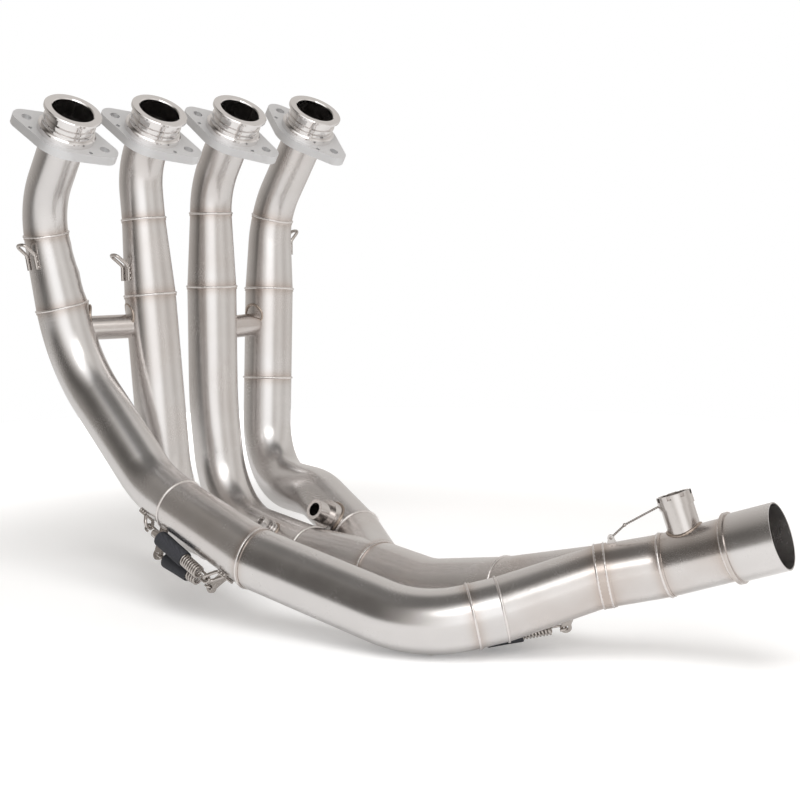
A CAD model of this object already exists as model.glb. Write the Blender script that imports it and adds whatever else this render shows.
"""Studio scene of a four-into-one motorcycle exhaust header, laid out as a Blender add-on."""

import math

import bmesh
import bpy
from mathutils import Matrix, Quaternion, Vector


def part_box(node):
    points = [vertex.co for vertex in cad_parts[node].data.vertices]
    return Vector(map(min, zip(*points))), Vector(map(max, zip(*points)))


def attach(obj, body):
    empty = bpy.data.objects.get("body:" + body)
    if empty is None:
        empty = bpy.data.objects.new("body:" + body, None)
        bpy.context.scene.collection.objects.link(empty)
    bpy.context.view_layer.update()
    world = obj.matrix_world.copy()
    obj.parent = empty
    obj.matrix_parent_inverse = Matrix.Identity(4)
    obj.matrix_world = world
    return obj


bl_info = {
    "name": "Exhaust Header Studio",
    "version": (1, 0, 0),
    "blender": (4, 5, 0),
    "location": "View3D > Sidebar > Header",
    "description": "Dresses a brushed steel exhaust header and its studio",
    "category": "Object",
}

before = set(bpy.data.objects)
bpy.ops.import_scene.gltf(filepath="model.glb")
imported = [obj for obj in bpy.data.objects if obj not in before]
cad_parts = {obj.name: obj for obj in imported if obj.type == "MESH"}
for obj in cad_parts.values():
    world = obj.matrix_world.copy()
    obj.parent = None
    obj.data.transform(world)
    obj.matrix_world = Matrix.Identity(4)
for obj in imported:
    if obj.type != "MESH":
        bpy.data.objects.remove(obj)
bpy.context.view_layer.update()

MM = 0.001

# Place of the port row's middle, and the lean of the port axes
ROW = Vector((-245.54, 2.9, 0.0))
PORT_PITCH = 88.0
PORT_HEIGHT = 410.0
PORT_LEAN = math.radians(33.0)
PORT_AXIS = Vector((math.sin(PORT_LEAN), 0.0, math.cos(PORT_LEAN)))

# Depth of the tubes' tops below the port lips, and the outside radii of the tubes
TUBE_TOP = 15.15
UPPER_RADIUS = 19.0
LOWER_RADIUS = 22.5
SECONDARY_RADIUS = 25.0
SLEEVE_RADIUS = 24.0
CROSSOVER_RADIUS = 10.5

# Places of the rear sensor boss and the lockwire's tab on the outlet's centre line
BOSS_PLACE = 73.0
TAB_PLACE = 14.0

UPWARD = Vector((0.0, 0.0, 1.0))


def at(x, y, z):
    """A point in millimetres, rearward and to the right of the middle of the port row."""
    return ROW + Vector((x, y, z))


def below_port(number, depth):
    """A point on a port's axis, at a depth below its lip."""
    return at(0.0, (number - 2.5) * PORT_PITCH, PORT_HEIGHT) - PORT_AXIS * depth


def beyond(point, direction, distance):
    """The point at a distance from another, in a direction."""
    return point + Vector(direction).normalized() * distance


# Centre lines of the tubes: corner points and the bend radius at each inner corner
ROUTES = {
    "primary_1": (
        [below_port(1, TUBE_TOP), below_port(1, 102), at(-38, -112, 192), at(66, -106, 99),
         at(102, -105, 86)],
        [85, 110, 90],
    ),
    "primary_2": (
        [below_port(2, TUBE_TOP), below_port(2, 60), at(3, -44, 53),
         beyond(at(102, -105, 86), (2, 35, -29), 45.5)],
        [60, 60],
    ),
    "primary_3": (
        [below_port(3, TUBE_TOP), below_port(3, 84), at(-38, 38, 140), at(-22, 38, 34),
         at(125, 18.7, 30.3)],
        [75, 400, 75],
    ),
    "primary_4": (
        [below_port(4, TUBE_TOP), below_port(4, 36), at(-58, 124, 312), at(-37, 99, 62),
         at(66, 76, 66), beyond(at(125, 18.7, 30.3), (8, 44.7, 11.2), 46.8)],
        [30, 90, 60, 60],
    ),
    "secondary_1": (
        [at(192, -98, 56), at(345, -60, 22), at(384, -12, 36)],
        [90],
    ),
    "secondary_2": (
        [at(204, 26, 27), at(272, 20, 24.7), beyond(at(384, -12, 36), (-33, 40, 3), 51.9)],
        [90],
    ),
    "outlet": (
        [at(436, 39, 62), at(473, 70, 72), at(554.5, 103.2, 103.1)],
        [60],
    ),
}


def place_on(route, length):
    """The point and direction of a centre line at a length from its start, in millimetres."""
    points, radii = ROUTES[route]
    here = points[0]
    left = length
    for corner, (before, knee, after) in enumerate(zip(points, points[1:], points[2:])):
        come = (knee - before).normalized()
        go = (after - knee).normalized()
        turn = come.angle(go)
        radius = radii[corner]
        reach = radius * math.tan(turn / 2)
        start = knee - come * reach
        run = (start - here).dot(come)
        if left <= run:
            return here + come * left, come
        left -= run
        if left <= radius * turn:
            axis = come.cross(go).normalized()
            centre = start + axis.cross(come) * radius
            spin = Quaternion(axis, left / radius)
            return centre + spin @ (start - centre), spin @ come
        left -= radius * turn
        here = knee + go * reach
    come = (points[-1] - points[-2]).normalized()
    return here + come * left, come


def level_point(route, height, hanging=300.0, halvings=40):
    """The point and direction at a height, in the hanging first stretch of a centre line."""
    low, high = 0.0, hanging
    for _ in range(halvings):
        middle = (low + high) / 2
        if place_on(route, middle)[0].z > height:
            low = middle
        else:
            high = middle
    return place_on(route, low)


# Seams: the centre line, the length along it, and the tube's outside radius there
SEAMS = {
    "primary_1_cone_top": ("primary_1", 104.7, UPPER_RADIUS),
    "primary_1_cone_foot": ("primary_1", 168.7, LOWER_RADIUS),
    "primary_2_cone_top": ("primary_2", 88.0, UPPER_RADIUS),
    "primary_2_cone_foot": ("primary_2", 154.7, LOWER_RADIUS),
    "primary_3_cone_top": ("primary_3", 90.7, UPPER_RADIUS),
    "primary_3_cone_foot": ("primary_3", 157.7, LOWER_RADIUS),
    "primary_4_cone_top": ("primary_4", 101.0, UPPER_RADIUS),
    "primary_4_cone_foot": ("primary_4", 168.5, LOWER_RADIUS),
    "primary_4_elbow": ("primary_4", 253.0, LOWER_RADIUS),
    "front_merge_end": ("secondary_1", 0.0, SECONDARY_RADIUS),
    "rear_merge_end": ("secondary_2", 0.0, SECONDARY_RADIUS),
    "front_end_seam": ("secondary_1", 198.0, SECONDARY_RADIUS),
    "collector_end": ("outlet", 0.0, SLEEVE_RADIUS),
    "throat_end": ("outlet", 7.0, SLEEVE_RADIUS),
    "sleeve_end": ("outlet", 50.5, SLEEVE_RADIUS),
    "sensor_end": ("outlet", 103.0, SLEEVE_RADIUS),
}

# Seams at the ends of the paired tubes of each merge
INLETS = [
    ("primary_1", 392.6, LOWER_RADIUS), ("primary_2", 434.1, LOWER_RADIUS),
    ("primary_3", 500.9, LOWER_RADIUS), ("primary_4", 504.9, LOWER_RADIUS),
    ("secondary_1", 220.4, SECONDARY_RADIUS), ("secondary_2", 148.3, SECONDARY_RADIUS),
]

# Beads of the crossovers: the two tubes, and the height at which the beads' ring lies
CROSSOVERS = [("primary_1", "primary_2", 231.0), ("primary_3", "primary_4", 218.0)]

# Sampling stub: its length along the third tube, rough axis, and radii and heights of its profile
STUB_LENGTH = 463.4
STUB_AXIS = (-0.08, -0.76, 0.64)
STUB_PROFILE = [
    (3.2, 21.5), (6.6, 21.5), (6.6, 25.0), (6.0, 25.6), (6.4, 26.4), (6.4, 27.8), (5.6, 28.6),
    (6.3, 29.4), (6.3, 31.6), (5.1, 32.3), (5.1, 38.2), (4.7, 38.6), (3.5, 38.6), (3.2, 38.2),
]

# Fittings with a bead round the foot: tube, length, rough axis, bead radius, tube radius
FITTINGS = [
    ("outlet", BOSS_PLACE, UPWARD, 12.7, SLEEVE_RADIUS),
    ("primary_4", 488.3, (0, -0.9, 0.44), 13.2, LOWER_RADIUS),
    ("primary_3", STUB_LENGTH, STUB_AXIS, 6.8, LOWER_RADIUS),
]

# Lockwire: height of the tab's eye over the outlet's axis, and the knot's place from the eye
TAB_HEIGHT = 28.0
LOCKWIRE_KNOT = (12.0, 8.0)

# Hooks on the cones: tube, length, clock angle, height of the bow, and the cone's radii. Their
# legs start a run behind the bow.
HOOK_RUN = 10
HOOK_LEG = 13
HOOKS = [
    (1, 119.0, -95.6, 29.0, (19.78, 20.49)),
    (2, 128.0, -82.8, 33.0, (21.1, 21.78)),
    (4, 122.0, 93.8, 29.0, (20.09, 20.76)),
]

# Springs: name, the two ends, coil diameter, leads, cap, and the stretch under the sleeve. An
# end has its anchor, the tube's axis there, and how its loop or plate stands on the tube.
MERGE_LINE = ((102, -105, 86), (192, -98, 56))
INLET_LINE = ((66, -106, 99), (102, -105, 86))
COLLECTOR_LINE = ((384, -12, 36), (436, 39, 62))
COLLECTOR_INLET_LINE = ((370.2, -29.4, 30.9), (384, -12, 36))
SPRINGS = [
    ("merge_spring_1", (
        {"name": "spring_loop_1", "kind": "loop", "anchor": (83.5, -123.7, 67.4),
         "axis": INLET_LINE, "turn": -1, "run": 6, "foot": 8, "radii": (22.5, 22.4)},
        {"name": "spring_loop_2", "kind": "loop", "anchor": (158.8, -121.6, 36.8),
         "axis": MERGE_LINE, "turn": 1, "run": 9, "foot": 10, "radii": (24.6, 24.9)},
    ), 11.0, (8.0, 10.0), 9.4, (17.4, 52.0)),
    ("merge_spring_2", (
        {"name": "spring_tab_1", "kind": "plate", "anchor": (90.8, -119.7, 45.0),
         "axis": INLET_LINE, "turn": -1, "run": 3, "foot": 9, "radii": (22.5,)},
        {"name": "spring_tab_2", "kind": "plate", "anchor": (148.4, -108.6, 25.7),
         "axis": MERGE_LINE, "turn": 1, "run": 5, "foot": 10, "radii": (26.8,)},
    ), 11.0, (6.0, 12.0), 0.0, (7.0, 34.0)),
    ("collector_spring", (
        {"name": "spring_tab_3", "kind": "plate", "anchor": (358.7, -14.8, 5.1),
         "axis": COLLECTOR_INLET_LINE, "turn": -1, "run": 3, "foot": 8, "radii": (25.0,)},
        {"name": "spring_tab_4", "kind": "plate", "anchor": (409.2, 31.8, 18.8),
         "axis": COLLECTOR_LINE, "turn": 1, "run": 4, "foot": 8, "radii": (24.5,)},
    ), 8.4, (5.0, 8.5), 0.0, (5.5, 33.8)),
]

# Camera: place from the port row's middle on the floor in millimetres, and its directions
CAMERA_PLACE = Vector((1356.3, -1021.5, 410.0))
CAMERA_RIGHT = Vector((0.6807, 0.7325, 0.0))
CAMERA_AHEAD = Vector((-0.7241, 0.6729, -0.1509))
CAMERA_BEARING = 42.9
CAMERA_LENS = 85.5

# Surround that the metal reflects: angle to the right of the camera in degrees, and share of
# the surround's strength. Over the sky band, given as the sine of the height, it is SKY_TOP.
SURROUND_STRENGTH = 1.38
SURROUND_WARMTH = 0.08
SKY_BAND = (0.80, 0.96)
SKY_TOP = (0.13, 0.125, 0.12, 1.0)
SURROUND = [
    (-180, 0.52), (-150, 0.44), (-110, 0.34), (-84, 0.22), (-64, 0.07), (-50, 0.08), (-36, 0.26),
    (-20, 0.70), (-4, 1.0), (18, 1.0), (34, 0.50), (60, 0.66), (84, 0.46), (114, 0.60), (150, 0.46),
    (180, 0.52),
]

# Lamps: name, place, aim and size in metres, watts, and whether gloss shows it
LAMPS = (
    ("overhead lamp", (0.62, -0.42, 1.8), (0.0, 0.0, 0.05), (1.2, 0.9), 18.0, False),
    ("front softbox", (1.35, -0.95, 1.5), (0.0, 0.0, 0.1), (1.7, 0.7), 7.0, True),
)

# Floor: its tone, and its glow for the camera, which grows from the middle to the rim
FLOOR_RADIUS = 1.1
FLOOR_TONE = (0.84, 0.84, 0.84, 1.0)
FLOOR_GLOW = (0.2, 1.0)
FLOOR_FADE = (0.45, FLOOR_RADIUS * 0.92)
FLOOR_IN_GLOSS = 0.12

# CAD nodes of brushed tube
TUBE_NODES = (
    [f"primary_{part}_{n}" for part in ("upper", "cone", "lower") for n in (1, 2, 3, 4)]
    + ["primary_elbow_4", "crossover_12", "crossover_34", "front_merge", "rear_merge",
       "final_collector", "secondary_front", "secondary_front_end", "secondary_rear",
       "collector_throat", "outlet_sleeve", "sensor_section", "outlet_tube"]
)

# Heat colour beside a seam: its width in metres, reach past the tube in mm, and weight
TINT_WIDTH = 0.0055
TINT_REACH = 8.0
TINT_WEIGHT = 0.6

# How far the exhaust's heat has browned a node, from 0 to 1
HEATED = {
    "final_collector": 0.5, "collector_throat": 0.6, "outlet_sleeve": 0.6, "sensor_section": 0.6,
    "rear_merge": 0.5, "front_merge": 0.25, "crossover_12": 0.6, "crossover_34": 0.6,
    "primary_upper_2": 0.35, "primary_upper_3": 0.35, "primary_upper_4": 0.35,
    "primary_cone_2": 0.35, "primary_cone_3": 0.35, "primary_cone_4": 0.35,
    "primary_lower_2": 0.3, "primary_lower_3": 0.3, "primary_lower_4": 0.3, "secondary_rear": 0.3,
}


class HeaderFinish(bpy.types.PropertyGroup):
    """Colours and finishes of the header."""

    steel: bpy.props.FloatVectorProperty(
        name="Steel", description="Colour of the brushed tubes",
        subtype="COLOR", size=4, min=0.0, max=1.0, default=(0.72, 0.700, 0.690, 1.0),
    )
    steel_roughness: bpy.props.FloatProperty(
        name="Steel roughness", description="Roughness of the brushed tubes",
        min=0.05, max=1.0, default=0.25,
    )
    straw: bpy.props.FloatVectorProperty(
        name="Straw tint", description="Heat colour beside the welds",
        subtype="COLOR", size=4, min=0.0, max=1.0, default=(0.50, 0.42, 0.37, 1.0),
    )
    collar: bpy.props.FloatVectorProperty(
        name="Collar steel", description="Colour of the turned and polished port collars",
        subtype="COLOR", size=4, min=0.0, max=1.0, default=(0.78, 0.76, 0.75, 1.0),
    )
    flange: bpy.props.FloatVectorProperty(
        name="Flange alloy", description="Colour of the blasted light alloy flanges",
        subtype="COLOR", size=4, min=0.0, max=1.0, default=(0.74, 0.74, 0.745, 1.0),
    )
    bead: bpy.props.FloatVectorProperty(
        name="Weld bead", description="Colour of the seams' weld beads",
        subtype="COLOR", size=4, min=0.0, max=1.0, default=(0.86, 0.82, 0.80, 1.0),
    )
    browned: bpy.props.FloatVectorProperty(
        name="Browned bead", description="Colour of the welds round the fittings",
        subtype="COLOR", size=4, min=0.0, max=1.0, default=(0.50, 0.42, 0.36, 1.0),
    )
    spring: bpy.props.FloatVectorProperty(
        name="Spring wire", description="Colour of the springs, loops and lockwire",
        subtype="COLOR", size=4, min=0.0, max=1.0, default=(0.58, 0.54, 0.51, 1.0),
    )
    sleeve: bpy.props.FloatVectorProperty(
        name="Spring sleeve", description="Colour of the springs' woven sleeves",
        subtype="COLOR", size=4, min=0.0, max=1.0, default=(0.035, 0.036, 0.042, 1.0),
    )
    fitting: bpy.props.FloatVectorProperty(
        name="Fitting steel", description="Colour of the sensor fittings",
        subtype="COLOR", size=4, min=0.0, max=1.0, default=(0.62, 0.59, 0.57, 1.0),
    )


class HeaderSizes(bpy.types.PropertyGroup):
    """Sizes of the pieces that the scene adds, in millimetres."""

    bead: bpy.props.FloatProperty(
        name="Bead", description="Thickness of a weld bead", min=0.4, max=4.0, default=2.3,
    )
    spring_wire: bpy.props.FloatProperty(
        name="Spring wire", description="Thickness of the springs' wire",
        min=1.0, max=3.0, default=2.0,
    )
    loop_wire: bpy.props.FloatProperty(
        name="Loop wire", description="Thickness of the welded loops' wire",
        min=2.0, max=5.0, default=3.0,
    )
    lockwire: bpy.props.FloatProperty(
        name="Lockwire", description="Thickness of one strand of lockwire",
        min=0.3, max=1.2, default=1.0,
    )


def finish():
    """The header's colours and finishes."""
    return bpy.context.scene.header_finish


def sizes():
    """The sizes of the added pieces."""
    return bpy.context.scene.header_sizes


# Shared effects


def new_group(name, inputs, outputs):
    """An empty node group with named sockets, and its input and output nodes."""
    tree = bpy.data.node_groups.new(name, "ShaderNodeTree")
    for label, kind, default in inputs:
        socket = tree.interface.new_socket(name=label, in_out="INPUT", socket_type=kind)
        if default is not None:
            socket.default_value = default
    for label, kind in outputs:
        tree.interface.new_socket(name=label, in_out="OUTPUT", socket_type=kind)
    return tree, tree.nodes.new("NodeGroupInput"), tree.nodes.new("NodeGroupOutput")


def math_node(tree, operation, first, second=None, third=None):
    """A Math node whose inputs are sockets or numbers. Returns its output."""
    node = tree.nodes.new("ShaderNodeMath")
    node.operation = operation
    for slot, value in enumerate((first, second, third)):
        if value is None:
            continue
        if isinstance(value, (int, float)):
            node.inputs[slot].default_value = value
        else:
            tree.links.new(value, node.inputs[slot])
    return node.outputs[0]


def vector_node(tree, operation, first, second=None):
    """A Vector Math node on one or two sockets or vectors. Returns the node."""
    node = tree.nodes.new("ShaderNodeVectorMath")
    node.operation = operation
    for slot, value in enumerate((first, second)):
        if value is None:
            continue
        if isinstance(value, (tuple, Vector)):
            node.inputs[slot].default_value = value
        else:
            tree.links.new(value, node.inputs[slot])
    return node


def noise(tree, place, scale, detail=2.0):
    """A noise pattern over a position. Returns its output."""
    node = tree.nodes.new("ShaderNodeTexNoise")
    node.inputs["Scale"].default_value = scale
    node.inputs["Detail"].default_value = detail
    tree.links.new(place, node.inputs["Vector"])
    return node.outputs["Fac"]


def roughen(tree, shader, height, strength, distance):
    """Tilts a shader's normals by a height, over a distance in metres."""
    bump = tree.nodes.new("ShaderNodeBump")
    bump.inputs["Strength"].default_value = strength
    bump.inputs["Distance"].default_value = distance
    tree.links.new(height, bump.inputs["Height"])
    tree.links.new(bump.outputs["Normal"], shader.inputs["Normal"])


def brushed_grain_group():
    """Fine streaks along X of a position as a roughness and a height, and a cloudy shade."""
    name = "brushed grain"
    if name in bpy.data.node_groups:
        return bpy.data.node_groups[name]
    tree, given, result = new_group(
        name,
        [("Position", "NodeSocketVector", None), ("Roughness", "NodeSocketFloat", 0.3),
         ("Spread", "NodeSocketFloat", 0.06)],
        [("Roughness", "NodeSocketFloat"), ("Height", "NodeSocketFloat"),
         ("Shade", "NodeSocketFloat")],
    )
    stretch = tree.nodes.new("ShaderNodeMapping")
    stretch.inputs["Scale"].default_value = (60.0, 2600.0, 2600.0)
    tree.links.new(given.outputs["Position"], stretch.inputs["Vector"])
    streaks = noise(tree, stretch.outputs["Vector"], 1.0, 3.0)
    clouds = noise(tree, given.outputs["Position"], 38.0)
    centred = math_node(tree, "SUBTRACT", streaks, 0.5)
    soft = math_node(tree, "SUBTRACT", clouds, 0.5)
    mixed = math_node(tree, "ADD", centred, soft)
    rough = math_node(
        tree, "MULTIPLY_ADD", mixed, given.outputs["Spread"], given.outputs["Roughness"])
    tree.links.new(rough, result.inputs["Roughness"])
    tree.links.new(streaks, result.inputs["Height"])
    tree.links.new(clouds, result.inputs["Shade"])
    return tree


def seam_tint_group():
    """How near a position is to a seam's plane, within reach of its centre, from 0 to 1."""
    name = "seam tint"
    if name in bpy.data.node_groups:
        return bpy.data.node_groups[name]
    tree, given, result = new_group(
        name,
        [("Position", "NodeSocketVector", None), ("Centre", "NodeSocketVector", None),
         ("Axis", "NodeSocketVector", None), ("Width", "NodeSocketFloat", 0.006),
         ("Reach", "NodeSocketFloat", 0.03)],
        [("Mask", "NodeSocketFloat")],
    )
    offset = vector_node(tree, "SUBTRACT", given.outputs["Position"], given.outputs["Centre"])
    along = vector_node(tree, "DOT_PRODUCT", offset.outputs["Vector"], given.outputs["Axis"])
    away = vector_node(tree, "LENGTH", offset.outputs["Vector"])
    share = math_node(tree, "DIVIDE", along.outputs["Value"], given.outputs["Width"])
    squared = math_node(tree, "MULTIPLY", share, share)
    euler = 2.718
    bell = math_node(tree, "POWER", euler, math_node(tree, "MULTIPLY", squared, -1.0))
    near = math_node(tree, "LESS_THAN", away.outputs["Value"], given.outputs["Reach"])
    tree.links.new(math_node(tree, "MULTIPLY", bell, near), result.inputs["Mask"])
    return tree


def use_group(tree, group, **values):
    """Places a node group and sets its inputs from sockets or values. Returns the node."""
    node = tree.nodes.new("ShaderNodeGroup")
    node.node_tree = group
    for label, value in values.items():
        socket = node.inputs[label.replace("_", " ")]
        if isinstance(value, bpy.types.NodeSocket):
            tree.links.new(value, socket)
        else:
            socket.default_value = value
    return node


def new_material(name):
    """A material with a Principled shader, its tree, shader and Object coordinates."""
    material = bpy.data.materials.new(name)
    material.use_nodes = True
    tree = material.node_tree
    shader = tree.nodes["Principled BSDF"]
    place = tree.nodes.new("ShaderNodeTexCoord")
    return material, tree, shader, place.outputs["Object"]


def tint_mix(tree, factor, first, second):
    """A colour mix in which the factor, and either colour, may be a socket."""
    node = tree.nodes.new("ShaderNodeMix")
    node.data_type = "RGBA"
    colour_inputs = ((node.inputs[0], factor), (node.inputs[6], first), (node.inputs[7], second))
    for socket, value in colour_inputs:
        if isinstance(value, bpy.types.NodeSocket):
            tree.links.new(value, socket)
        else:
            socket.default_value = value
    return node.outputs[2]


def brushed_tube(name, axis, seams, heat):
    """Brushed stainless tube with its grain along an axis, and heat colour beside its seams."""
    material, tree, shader, place = new_material(name)
    turn = tree.nodes.new("ShaderNodeMapping")
    lay = axis.rotation_difference(Vector((1, 0, 0)))
    turn.inputs["Rotation"].default_value = lay.to_euler()
    tree.links.new(place, turn.inputs["Vector"])
    grain = use_group(
        tree, brushed_grain_group(), Position=turn.outputs["Vector"],
        Roughness=finish().steel_roughness, Spread=0.10,
    )
    steel = tuple(finish().steel)
    dull = tuple(c * 0.90 for c in steel[:3]) + (1.0,)
    colour = tint_mix(tree, grain.outputs["Shade"], dull, steel)
    if heat:
        share = math_node(
            tree, "MULTIPLY_ADD", noise(tree, place, 17.0, 3.0), 2.4 * heat, -0.9 * heat)
        share.node.use_clamp = True
        colour = tint_mix(tree, share, colour, tuple(finish().straw))
    for seam in seams:
        route, length, radius = SEAMS[seam]
        point, direction = place_on(route, length)
        tint = use_group(
            tree, seam_tint_group(), Position=place, Centre=point * MM, Axis=direction,
            Width=TINT_WIDTH, Reach=(radius + TINT_REACH) * MM,
        )
        weak = math_node(tree, "MULTIPLY", tint.outputs["Mask"], TINT_WEIGHT)
        colour = tint_mix(tree, weak, colour, tuple(finish().straw))
    tree.links.new(colour, shader.inputs["Base Color"])
    tree.links.new(grain.outputs["Roughness"], shader.inputs["Roughness"])
    shader.inputs["Metallic"].default_value = 1.0
    roughen(tree, shader, grain.outputs["Height"], 0.05, 0.0002)
    return material


def turned_steel(name, colour, roughness):
    """Turned and polished steel, with faint cloudy wear in its gloss."""
    material, tree, shader, place = new_material(name)
    rough = math_node(tree, "MULTIPLY_ADD", noise(tree, place, 90.0), 0.08, roughness)
    tree.links.new(rough, shader.inputs["Roughness"])
    shader.inputs["Base Color"].default_value = colour
    shader.inputs["Metallic"].default_value = 1.0
    return material


def blasted_alloy(name):
    """Bead-blasted light alloy with a fine grain."""
    material, tree, shader, place = new_material(name)
    grain = noise(tree, place, 1500.0)
    colour = tuple(finish().flange)
    dull = tuple(c * 0.94 for c in colour[:3]) + (1.0,)
    tree.links.new(tint_mix(tree, grain, dull, colour), shader.inputs["Base Color"])
    shader.inputs["Metallic"].default_value = 0.75
    shader.inputs["Roughness"].default_value = 0.5
    roughen(tree, shader, grain, 0.15, 0.0002)
    return material


def plain_metal(name, colour, roughness, grain=0.0):
    """Metal of one clouded tone, with a fine ripple where a grain is given."""
    material, tree, shader, place = new_material(name)
    clouds = noise(tree, place, 420.0)
    dull = tuple(c * 0.8 for c in colour[:3]) + (1.0,)
    tree.links.new(tint_mix(tree, clouds, dull, tuple(colour)), shader.inputs["Base Color"])
    rough = math_node(tree, "MULTIPLY_ADD", clouds, 0.12, roughness)
    tree.links.new(rough, shader.inputs["Roughness"])
    shader.inputs["Metallic"].default_value = 1.0
    if grain:
        roughen(tree, shader, clouds, grain, 0.0003)
    return material


def woven_sleeve(name, colour):
    """Dark heat-proof sleeve with a fine crossed weave."""
    material, tree, shader, place = new_material(name)
    height = None
    for turn in (0.8, -0.8):
        lay = tree.nodes.new("ShaderNodeMapping")
        lay.inputs["Rotation"].default_value = (turn, turn, turn)
        tree.links.new(place, lay.inputs["Vector"])
        strands = tree.nodes.new("ShaderNodeTexWave")
        strands.inputs["Scale"].default_value = 330.0
        tree.links.new(lay.outputs["Vector"], strands.inputs["Vector"])
        height = strands.outputs["Fac"] if height is None else math_node(
            tree, "MULTIPLY", height, strands.outputs["Fac"])
    pale = tuple(c * 1.9 for c in colour[:3]) + (1.0,)
    tree.links.new(tint_mix(tree, height, tuple(colour), pale), shader.inputs["Base Color"])
    shader.inputs["Roughness"].default_value = 0.85
    roughen(tree, shader, height, 0.6, 0.0004)
    return material


# Shapes, in millimetres


def square_to(vector, along):
    """The part of a vector that is square to a unit direction, as a unit vector."""
    vector = Vector(vector)
    return (vector - along * vector.dot(along)).normalized()


def placed(point, direction, across):
    """A place with its origin at a point, Z along a direction and X towards another."""
    z = direction.normalized()
    x = square_to(across, z)
    return Matrix.Translation(point) @ Matrix((x, z.cross(x), z)).transposed().to_4x4()


def edges_of(geometry):
    """The edges in what a bmesh operator returns."""
    return [item for item in geometry if isinstance(item, bmesh.types.BMEdge)]


def verts_of(geometry):
    """The vertices in what a bmesh operator returns."""
    return [item for item in geometry if isinstance(item, bmesh.types.BMVert)]


def rim_of(verts):
    """The edges at some vertices, each once and in the same order in every run."""
    return list(dict.fromkeys(edge for vert in verts for edge in vert.link_edges))


def round_end(shape, dia, segments, matrix):
    """A filled circle whose rim a wire grows from. Returns the rim's edges."""
    made = bmesh.ops.create_circle(
        shape, cap_ends=True, radius=dia / 2, segments=segments, matrix=matrix)
    return rim_of(made["verts"])


def run_on(shape, rim, shift):
    """Lengthens a wire from its rim. Returns the new rim."""
    made = bmesh.ops.extrude_edge_only(shape, edges=rim)["geom"]
    verts = verts_of(made)
    bmesh.ops.translate(shape, verts=verts, vec=shift)
    return [edge for edge in edges_of(made) if all(vert in verts for vert in edge.verts)]


def bent_wire(shape, points, bends, dia, segments=12):
    """A round wire through corner points, with a bend radius at each inner corner."""
    here = points[0]
    come = (points[1] - here).normalized()
    rim = round_end(shape, dia, segments, placed(here, come, come.orthogonal()))
    for bend, knee, after in zip(bends, points[1:], points[2:]):
        go = (after - knee).normalized()
        turn = come.angle(go)
        reach = bend * math.tan(turn / 2)
        start = knee - come * reach
        rim = run_on(shape, rim, start - here)
        axis = come.cross(go).normalized()
        made = bmesh.ops.spin(
            shape, geom=rim, cent=start + axis.cross(come) * bend, axis=axis, angle=turn,
            steps=max(2, round(turn / 0.3)))
        rim = edges_of(made["geom_last"])
        here = knee + go * reach
        come = go
    rim = run_on(shape, rim, points[-1] - here)
    bmesh.ops.edgeloop_fill(shape, edges=rim)


def wound_wire(shape, place, radius, dia, rise, turns, steps=20, segments=8):
    """A helix of wire that starts on the place's X and climbs its Z by one rise a turn."""
    ring = Matrix.Translation((radius, 0, 0)) @ Matrix.Rotation(math.pi / 2, 4, "X")
    rim = round_end(shape, dia, segments, place @ ring)
    spun = bmesh.ops.spin(
        shape, geom=rim, cent=place.translation, axis=place.col[2].xyz,
        dvec=place.col[2].xyz * rise / steps, angle=math.tau * turns, steps=round(steps * turns))
    bmesh.ops.edgeloop_fill(shape, edges=edges_of(spun["geom_last"]))


def turned(shape, profile, place, steps=48):
    """A closed turned form: corners given as radius and height, spun about the place's Z."""
    verts = [shape.verts.new(place @ Vector((radius, 0, height))) for radius, height in profile]
    rim = [shape.edges.new(pair) for pair in zip(verts, verts[1:] + verts[:1])]
    bmesh.ops.spin(
        shape, geom=verts + rim, cent=place.translation, axis=place.col[2].xyz, angle=math.tau,
        steps=steps, use_merge=True)


def weld_ring(shape, place, radius, dia, saddle=0.0, ripples=44, steps=132, wave=0.16):
    """A bead round the place's Z, rippled by a wave's height. Where a saddle radius is given,
    the bead lies on a tube of that radius, whose axis is the place's X."""
    first = len(shape.verts)
    ring = Matrix.Translation((radius, 0, 0)) @ Matrix.Rotation(math.pi / 2, 4, "X")
    made = bmesh.ops.create_circle(shape, radius=dia / 2, segments=8, matrix=place @ ring)
    rim = rim_of(made["verts"])
    bmesh.ops.spin(
        shape, geom=rim, cent=place.translation, axis=place.col[2].xyz, angle=math.tau,
        steps=steps, use_merge=True)
    shape.verts.ensure_lookup_table()
    back = place.inverted()
    for vert in shape.verts[first:]:
        local = back @ vert.co
        angle = math.atan2(local.y, local.x)
        out = Vector((local.x, local.y, 0)).normalized()
        local += out * wave * math.sin(angle * ripples)
        if saddle:
            local.z += math.sqrt(saddle ** 2 - (radius * math.sin(angle)) ** 2)
        vert.co = place @ local


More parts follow.
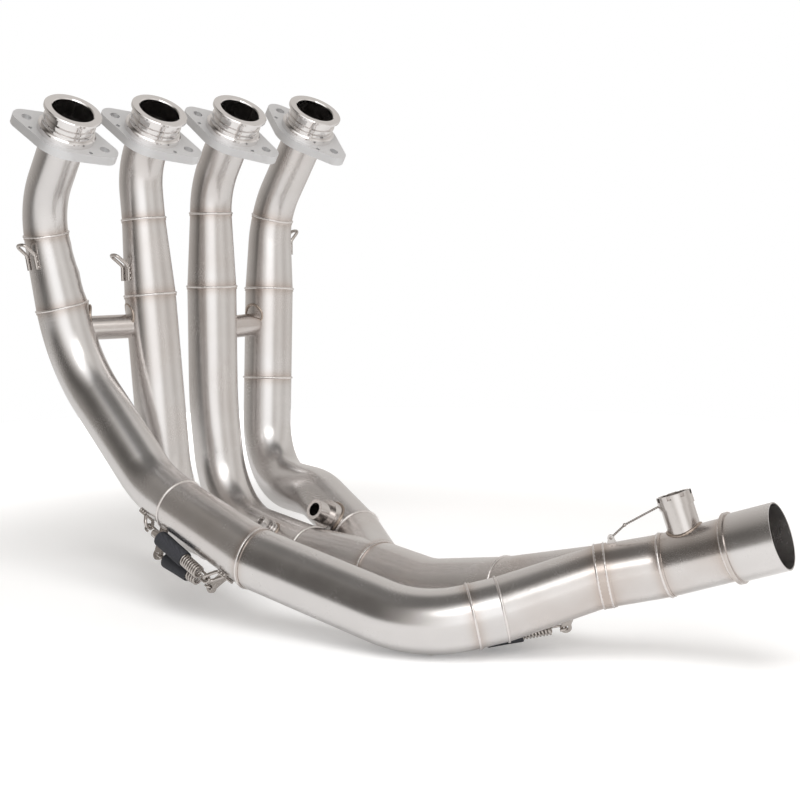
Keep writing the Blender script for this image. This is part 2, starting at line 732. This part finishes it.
def holed_plate(shape, place, height, run, length, sink, thickness=2.5, end=4.6, hole=2.1):
    """A plate in the place's X and Z: a holed round end at a height up X, and a foot that
    stands one run further along Z."""
    flat = place @ Matrix.Rotation(-math.pi / 2, 4, "X")
    loops = []
    for radius in (hole, end):
        made = bmesh.ops.create_circle(
            shape, radius=radius, segments=24, matrix=flat @ Matrix.Translation((height, 0, 0)))
        loops.append(made["verts"])
    back = flat.inverted()
    foot_from, foot_width = -0.3, 1.91
    for vert in loops[1]:
        local = back @ vert.co
        if (local.x - height) / end < foot_from:
            share = local.y / end / foot_width
            vert.co = flat @ Vector((sink, -run - length / 2 + share * length, 0))
    rims = [edge for loop in loops for edge in rim_of(loop)]
    faces = bmesh.ops.bridge_loops(shape, edges=rims)["faces"]
    bmesh.ops.translate(
        shape, verts=[vert for loop in loops for vert in loop],
        vec=place.col[1].xyz * -thickness / 2)
    grown = bmesh.ops.extrude_face_region(shape, geom=faces, use_keep_orig=True)["geom"]
    bmesh.ops.translate(shape, verts=verts_of(grown), vec=place.col[1].xyz * thickness)


def finish_piece(name, shape, material):
    """Closes a shape, puts it in metres and makes a piece of it that rides on the header."""
    bmesh.ops.scale(shape, vec=(MM, MM, MM), verts=shape.verts)
    bmesh.ops.recalc_face_normals(shape, faces=shape.faces)
    mesh = bpy.data.meshes.new(name)
    shape.to_mesh(mesh)
    shape.free()
    mesh.shade_smooth()
    mesh.set_sharp_from_angle(angle=math.radians(50))
    mesh.materials.append(material)
    piece = bpy.data.objects.new(name, mesh)
    bpy.context.scene.collection.objects.link(piece)
    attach(piece, "root")


def clocked(route, length, clock):
    """The place on a centre line at a length, with Z along it and X outward at a clock angle."""
    point, along = place_on(route, length)
    flat = Vector((0, 1, 0)).cross(along).normalized()
    side = along.cross(flat)
    angle = math.radians(clock)
    return placed(point, along, flat * math.cos(angle) + side * math.sin(angle))


def beside(start, end, anchor, turn=1):
    """The place on a straight axis beside an anchor, with X towards it. Also its height."""
    along = (end - start).normalized()
    foot = start + along * (anchor - start).dot(along)
    return placed(foot, along * turn, anchor - foot), (anchor - foot).length


def lying(radius, wire, spread, gap=0.1):
    """The height over a tube's axis at which a loop's legs lie a gap off the tube."""
    return math.sqrt((radius + wire / 2 + gap) ** 2 - (spread / 2) ** 2)


def welded_loop(shape, place, bow, run, leg, knee_radius, foot_radius, spread=11.0, bend=4):
    """A wire loop: a bow that stands off the tube, and two tacked legs that lie along it."""
    wire = sizes().loop_wire
    knee, foot = (lying(radius, wire, spread) for radius in (knee_radius, foot_radius))
    side = spread / 2
    corners = [
        (foot, side, run + leg), (knee, side, run), (bow, side, 0),
        (bow, -side, 0), (knee, -side, run), (foot, -side, run + leg),
    ]
    bent_wire(shape, [place @ Vector(corner) for corner in corners], [bend] * 4, wire)
    tack_height, tack_spread, tack_radius = foot - wire * 0.35, 1.22, wire * 0.42
    for turn in (side, -side):
        for share in (0.15, 0.5, 0.85):
            spot = place @ Vector((tack_height, turn * tack_spread, run + leg * share))
            bmesh.ops.create_icosphere(
                shape, subdivisions=2, radius=tack_radius, matrix=Matrix.Translation(spot))


def hook(shape, eye, inward, up, lead, coil, reach):
    """A spring's end hook round an eye, from the coil's rim a lead away."""
    wire = sizes().spring_wire
    corners = [
        (lead, coil), (lead - 2.2, reach), (-reach, reach), (-reach, -reach),
        (reach * 0.7, -reach),
    ]
    bent_wire(shape, [eye + inward * x + up * y for x, y in corners], [0.8, reach, reach], wire)


def dress(node, material):
    """Gives a CAD node one material."""
    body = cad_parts[node]
    body.data.materials.clear()
    body.data.materials.append(material)


class HEADER_OT_tubes(bpy.types.Operator):
    """Give every tube its brushed steel"""

    bl_idname = "header.tubes"
    bl_label = "Brushed Tubes"

    def execute(self, context):
        margin = 0.004
        most_seams = 4
        for node in TUBE_NODES:
            low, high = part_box(node)
            span = high - low
            axis = Vector((1, 0, 0)) if span.x > span.z else Vector((0, 0, 1))
            middle = (low + high) / 2
            near = [
                seam for seam, (route, length, radius) in SEAMS.items()
                if all(
                    low[k] - margin <= (place_on(route, length)[0] * MM)[k] <= high[k] + margin
                    for k in range(3)
                )
            ]
            heat = HEATED.get(node, 0.0)
            dress(node, brushed_tube(f"brushed {node}", axis, near[:most_seams], heat))
        return {"FINISHED"}


class HEADER_OT_collars(bpy.types.Operator):
    """Give the port collars and sensor fittings their turned steel"""

    bl_idname = "header.collars"
    bl_label = "Port Collars and Fittings"

    def execute(self, context):
        collar = turned_steel("polished collar", tuple(finish().collar), 0.06)
        for number in (1, 2, 3, 4):
            dress(f"port_collar_{number}", collar)
        fitting = turned_steel("machined fitting", tuple(finish().fitting), 0.18)
        for node in ("front_sensor_bung", "rear_sensor_boss", "sensor_plug"):
            dress(node, fitting)
        return {"FINISHED"}


class HEADER_OT_flanges(bpy.types.Operator):
    """Give the port flanges their blasted alloy"""

    bl_idname = "header.flanges"
    bl_label = "Port Flanges"

    def execute(self, context):
        alloy = blasted_alloy("blasted flange alloy")
        for number in (1, 2, 3, 4):
            dress(f"port_flange_{number}", alloy)
        return {"FINISHED"}


class HEADER_OT_welds(bpy.types.Operator):
    """Lay the weld beads on the seams and round the fittings"""

    bl_idname = "header.welds"
    bl_label = "Weld Beads"

    def execute(self, context):
        bead = sizes().bead
        sunk = 0.1
        shape = bmesh.new()
        for route, length, radius in list(SEAMS.values()) + INLETS:
            point, along = place_on(route, length)
            weld_ring(shape, placed(point, along, along.orthogonal()), radius - sunk, bead)
        pale = plain_metal("weld bead", finish().bead, 0.24, 0.3)
        finish_piece("seam_beads", shape, pale)

        shape = bmesh.new()
        for first, second, height in CROSSOVERS:
            ends = [level_point(name, height) for name in (first, second)]
            for here, there, along in (
                (ends[0][0], ends[1][0], ends[0][1]), (ends[1][0], ends[0][0], ends[1][1]),
            ):
                weld_ring(
                    shape, placed(here, there - here, along), CROSSOVER_RADIUS, bead,
                    saddle=LOWER_RADIUS - sunk, ripples=26, steps=78)
        for route, length, axis, radius, tube in FITTINGS:
            point, along = place_on(route, length)
            weld_ring(
                shape, placed(point, square_to(axis, along), along), radius, bead * 1.1,
                saddle=tube, ripples=30, steps=90)
        browned = plain_metal("browned bead", finish().browned, 0.3, 0.3)
        finish_piece("fitting_beads", shape, browned)
        return {"FINISHED"}


class HEADER_OT_springs(bpy.types.Operator):
    """Make the springs, their sleeves, and the loops and tabs that hold them"""

    bl_idname = "header.springs"
    bl_label = "Springs and Hooks"

    def execute(self, context):
        steel = plain_metal("spring wire", finish().spring, 0.16)
        loops = plain_metal("loop wire", finish().spring, 0.2, 0.1)
        cloth = woven_sleeve("sleeve weave", finish().sleeve)

        for number, knee, clock, bow, radii in HOOKS:
            shape = bmesh.new()
            seat = clocked(f"primary_{number}", knee, clock)
            seat = seat @ Matrix.Translation((0, 0, -HOOK_RUN))
            welded_loop(shape, seat, bow, HOOK_RUN, HOOK_LEG, *radii)
            finish_piece(f"primary_hook_{number}", shape, loops)

        for name, ends, dia, leads, cap, sleeved in SPRINGS:
            anchors = [Vector(end["anchor"]) + ROW for end in ends]
            eyes = []
            normals = []
            reach = (sizes().loop_wire + sizes().spring_wire) / 2 + 0.3
            for end, anchor, other in zip(ends, anchors, anchors[::-1]):
                start, stop = [at(*point) for point in end["axis"]]
                seat, height = beside(start, stop, anchor, end["turn"])
                shape = bmesh.new()
                if end["kind"] == "loop":
                    welded_loop(shape, seat, height, end["run"], end["foot"], *end["radii"])
                    eyes.append(anchor)
                    normals.append(seat.col[1].xyz)
                else:
                    sink = end["radii"][0] - 0.6
                    holed_plate(shape, seat, height, end["run"], end["foot"], sink)
                    eyes.append(anchor + (other - anchor).normalized() * reach)
                    normals.append(seat.col[0].xyz)
                finish_piece(end["name"], shape, loops)

            along = (eyes[1] - eyes[0]).normalized()
            span = (eyes[1] - eyes[0]).length
            coil = (dia - sizes().spring_wire) / 2
            ups = [
                square_to(normal, along).cross(inward)
                for normal, inward in zip(normals, (along, -along))
            ]
            shape = bmesh.new()
            low, high = leads[0] + cap, span - leads[1]
            least_rise = sizes().spring_wire * 1.3
            turns = round((high - low) / least_rise * 4) / 4
            wound_wire(shape, placed(eyes[0] + along * low, along, ups[0]), coil,
                       sizes().spring_wire, (high - low) / turns, turns)
            hook(shape, eyes[0], along, ups[0], low, coil, reach)
            hook(shape, eyes[1], -along, ups[1], leads[1], coil, reach)
            if cap:
                turned(shape, [(0.01, leads[0]), (3.2, leads[0]), (3.75, leads[0] + 0.6),
                               (3.75, low), (0.01, low)], placed(eyes[0], along, ups[0]))
            finish_piece(name, shape, steel)

            shape = bmesh.new()
            inner = dia / 2 + 0.25  # the sleeve lies this close over the coil
            start, stop = sleeved
            turned(
                shape,
                [(inner, start), (inner + 0.7, start), (inner + 1.1, start + 1.2),
                 (inner + 1.0, (start + stop) / 2), (inner + 1.1, stop - 1.2), (inner + 0.7, stop),
                 (inner, stop)],
                placed(eyes[0], along, ups[0]))
            finish_piece(f"{name}_sleeve", shape, cloth)
        return {"FINISHED"}


class HEADER_OT_fittings(bpy.types.Operator):
    """Make the sampling stub, the nub under the bend, and the plug's lockwire with its tab"""

    bl_idname = "header.fittings"
    bl_label = "Stub, Nub and Lockwire"

    def execute(self, context):
        fitting = plain_metal("stub steel", finish().fitting, 0.2)
        point, along = place_on("primary_3", STUB_LENGTH)
        shape = bmesh.new()
        turned(shape, STUB_PROFILE, placed(point, square_to(STUB_AXIS, along), along))
        finish_piece("sampling_stub", shape, fitting)

        point, along = place_on("secondary_1", 165)
        down = -square_to(UPWARD, along)
        shape = bmesh.new()
        turned(shape, [(0.01, 24.4), (3.2, 24.4), (2.9, 25.4), (1.9, 25.75), (0.01, 25.85)],
               placed(point, down, along))
        nub = plain_metal("nub weld", finish().browned, 0.35)
        finish_piece("bend_nub", shape, nub)

        point, along = place_on("outlet", TAB_PLACE)
        up = square_to(UPWARD, along)
        shape = bmesh.new()
        holed_plate(
            shape, placed(point, -along, up), TAB_HEIGHT, run=-4.2, length=8.4, sink=23.6,
            thickness=2.0, end=2.6, hole=1.1)
        finish_piece("lockwire_tab", shape, fitting)

        boss_height, cap_lap, cap_radius = 17, 3.2, 13.3
        tab = point + up * TAB_HEIGHT
        knot = tab + along * LOCKWIRE_KNOT[0] + up * LOCKWIRE_KNOT[1]
        seat, seat_along = place_on("outlet", BOSS_PLACE)
        rise = square_to(UPWARD, seat_along)
        cap = seat + rise * (SLEEVE_RADIUS + boss_height + cap_lap) - seat_along * cap_radius
        shape = bmesh.new()
        wire = sizes().lockwire
        twist = 3.2
        for start, stop in ((cap, knot), (knot, tab)):
            run = stop - start
            turns = max(2, round(run.length / twist))
            for phase in (0, math.pi):
                place = placed(start, run, run.orthogonal()) @ Matrix.Rotation(phase, 4, "Z")
                wound_wire(
                    shape, place, wire * 0.5, wire, run.length / turns, turns, steps=12,
                    segments=6)
        for spot, size in ((knot, 1.5), (tab, 1.2), (cap, 1.1)):
            bmesh.ops.create_icosphere(
                shape, subdivisions=2, radius=size, matrix=Matrix.Translation(spot))
        strand = plain_metal("lockwire", finish().spring, 0.2)
        finish_piece("lockwire", shape, strand)
        return {"FINISHED"}


class HEADER_OT_stage(bpy.types.Operator):
    """Make the studio: floor, world, lamps and camera"""

    bl_idname = "header.stage"
    bl_label = "Studio"

    def execute(self, context):
        scene = context.scene
        scene.view_settings.view_transform = "Standard"

        self.camera(scene)
        self.floor(scene)
        self.lamps(scene)
        self.world(scene)
        return {"FINISHED"}

    def camera(self, scene):
        """The camera at the photograph's viewing angle."""
        camera = bpy.data.cameras.new("studio camera")
        camera.lens = CAMERA_LENS
        camera.sensor_width = 36.0
        camera.clip_end = 50.0
        eye = bpy.data.objects.new("studio camera", camera)
        scene.collection.objects.link(eye)
        right = CAMERA_RIGHT.normalized()
        ahead = CAMERA_AHEAD.normalized()
        right = square_to(right, ahead)
        turn = Matrix((right, right.cross(ahead), -ahead)).transposed().to_4x4()
        eye.matrix_world = Matrix.Translation((ROW + CAMERA_PLACE) * MM) @ turn
        scene.camera = eye

    def floor(self, scene):
        """A pale round floor that keeps the shadow and fades to white at its rim."""
        shape = bmesh.new()
        bmesh.ops.create_circle(shape, cap_ends=True, radius=FLOOR_RADIUS, segments=96)
        mesh = bpy.data.meshes.new("studio floor")
        shape.to_mesh(mesh)
        shape.free()
        floor = bpy.data.objects.new("studio floor", mesh)
        scene.collection.objects.link(floor)
        material, tree, shader, place = new_material("studio floor")
        shader.inputs["Base Color"].default_value = FLOOR_TONE
        shader.inputs["Roughness"].default_value = 0.9
        shader.inputs["Specular IOR Level"].default_value = 0.0
        shader.inputs["Emission Color"].default_value = (1.0, 1.0, 1.0, 1.0)
        rim = tree.nodes.new("ShaderNodeMapRange")
        rim.interpolation_type = "SMOOTHSTEP"
        rim.inputs["From Min"].default_value, rim.inputs["From Max"].default_value = FLOOR_FADE
        rim.inputs["To Min"].default_value, rim.inputs["To Max"].default_value = FLOOR_GLOW
        away = vector_node(tree, "LENGTH", place)
        tree.links.new(away.outputs["Value"], rim.inputs["Value"])
        rays = tree.nodes.new("ShaderNodeLightPath").outputs
        seen = math_node(tree, "MULTIPLY", rays["Is Camera Ray"], rim.outputs["Result"])
        mirrored = math_node(
            tree, "MAXIMUM", rays["Is Glossy Ray"], rays["Is Transmission Ray"])
        glow = math_node(tree, "MULTIPLY_ADD", mirrored, FLOOR_IN_GLOSS, seen)
        tree.links.new(glow, shader.inputs["Emission Strength"])
        mesh.materials.append(material)

    def lamps(self, scene):
        """A broad lamp overhead for the shadow, and a softbox over the camera for the gloss."""
        for name, place, aim, size, energy, glossy in LAMPS:
            lamp = bpy.data.lights.new(name, "AREA")
            lamp.shape = "RECTANGLE"
            lamp.size, lamp.size_y = size
            lamp.energy = energy
            hung = bpy.data.objects.new(name, lamp)
            place = Vector(place)
            turn = (Vector(aim) - place).to_track_quat("-Z", "Y").to_matrix().to_4x4()
            hung.matrix_world = Matrix.Translation(place) @ turn
            hung.visible_glossy = glossy
            scene.collection.objects.link(hung)

    def world(self, scene):
        """Soft studio surround: white to the camera, with darker sides that the metal reflects."""
        world = bpy.data.worlds.new("studio surround")
        world.use_nodes = True
        scene.world = world
        tree = world.node_tree
        tree.nodes.clear()
        output = tree.nodes.new("ShaderNodeOutputWorld")
        place = tree.nodes.new("ShaderNodeTexCoord")
        turn = tree.nodes.new("ShaderNodeMapping")
        turn.inputs["Rotation"].default_value = (0.0, 0.0, math.radians(CAMERA_BEARING))
        tree.links.new(place.outputs["Generated"], turn.inputs["Vector"])
        sweep = tree.nodes.new("ShaderNodeTexGradient")
        sweep.gradient_type = "RADIAL"
        tree.links.new(turn.outputs["Vector"], sweep.inputs["Vector"])
        around = tree.nodes.new("ShaderNodeValToRGB")
        tree.links.new(sweep.outputs["Fac"], around.inputs["Fac"])
        ramp = around.color_ramp
        while len(ramp.elements) < len(SURROUND):
            ramp.elements.new(0.5)
        for element, (angle, value) in zip(ramp.elements, SURROUND):
            element.position = 0.5 + angle / 360
            warm = SURROUND_WARMTH * (1.0 - value)
            element.color = (value * (1.0 + warm), value, value * (1.0 - warm), 1.0)
        height = tree.nodes.new("ShaderNodeSeparateXYZ")
        tree.links.new(place.outputs["Generated"], height.inputs["Vector"])
        above = tree.nodes.new("ShaderNodeMapRange")
        above.interpolation_type = "SMOOTHSTEP"
        above.inputs["From Min"].default_value, above.inputs["From Max"].default_value = SKY_BAND
        tree.links.new(height.outputs["Z"], above.inputs["Value"])
        sky = tint_mix(tree, above.outputs["Result"], around.outputs["Color"], SKY_TOP)
        light = tree.nodes.new("ShaderNodeBackground")
        tree.links.new(sky, light.inputs["Color"])
        light.inputs["Strength"].default_value = SURROUND_STRENGTH
        white = tree.nodes.new("ShaderNodeBackground")
        white.inputs["Color"].default_value = (1.0, 1.0, 1.0, 1.0)
        white.inputs["Strength"].default_value = 1.0
        rays = tree.nodes.new("ShaderNodeLightPath")
        choice = tree.nodes.new("ShaderNodeMixShader")
        tree.links.new(rays.outputs["Is Camera Ray"], choice.inputs["Fac"])
        tree.links.new(light.outputs["Background"], choice.inputs[1])
        tree.links.new(white.outputs["Background"], choice.inputs[2])
        tree.links.new(choice.outputs["Shader"], output.inputs["Surface"])


class HEADER_PT_panel(bpy.types.Panel):
    """Lists the header's operators"""

    bl_idname = "HEADER_PT_panel"
    bl_label = "Exhaust Header"
    bl_space_type = "VIEW_3D"
    bl_region_type = "UI"
    bl_category = "Header"

    def draw(self, context):
        for operator in OPERATORS:
            self.layout.operator(operator.bl_idname)


OPERATORS = (
    HEADER_OT_stage, HEADER_OT_tubes, HEADER_OT_collars, HEADER_OT_flanges, HEADER_OT_welds,
    HEADER_OT_springs, HEADER_OT_fittings,
)
CLASSES = (HeaderFinish, HeaderSizes, *OPERATORS, HEADER_PT_panel)


def register():
    for cls in CLASSES:
        bpy.utils.register_class(cls)
    bpy.types.Scene.header_finish = bpy.props.PointerProperty(type=HeaderFinish)
    bpy.types.Scene.header_sizes = bpy.props.PointerProperty(type=HeaderSizes)


def unregister():
    del bpy.types.Scene.header_sizes
    del bpy.types.Scene.header_finish
    for cls in reversed(CLASSES):
        bpy.utils.unregister_class(cls)


def main():
    register()
    bpy.ops.header.stage()
    bpy.ops.header.tubes()
    bpy.ops.header.collars()
    bpy.ops.header.flanges()
    bpy.ops.header.welds()
    bpy.ops.header.springs()
    bpy.ops.header.fittings()


if __name__ == "__main__":
    main()
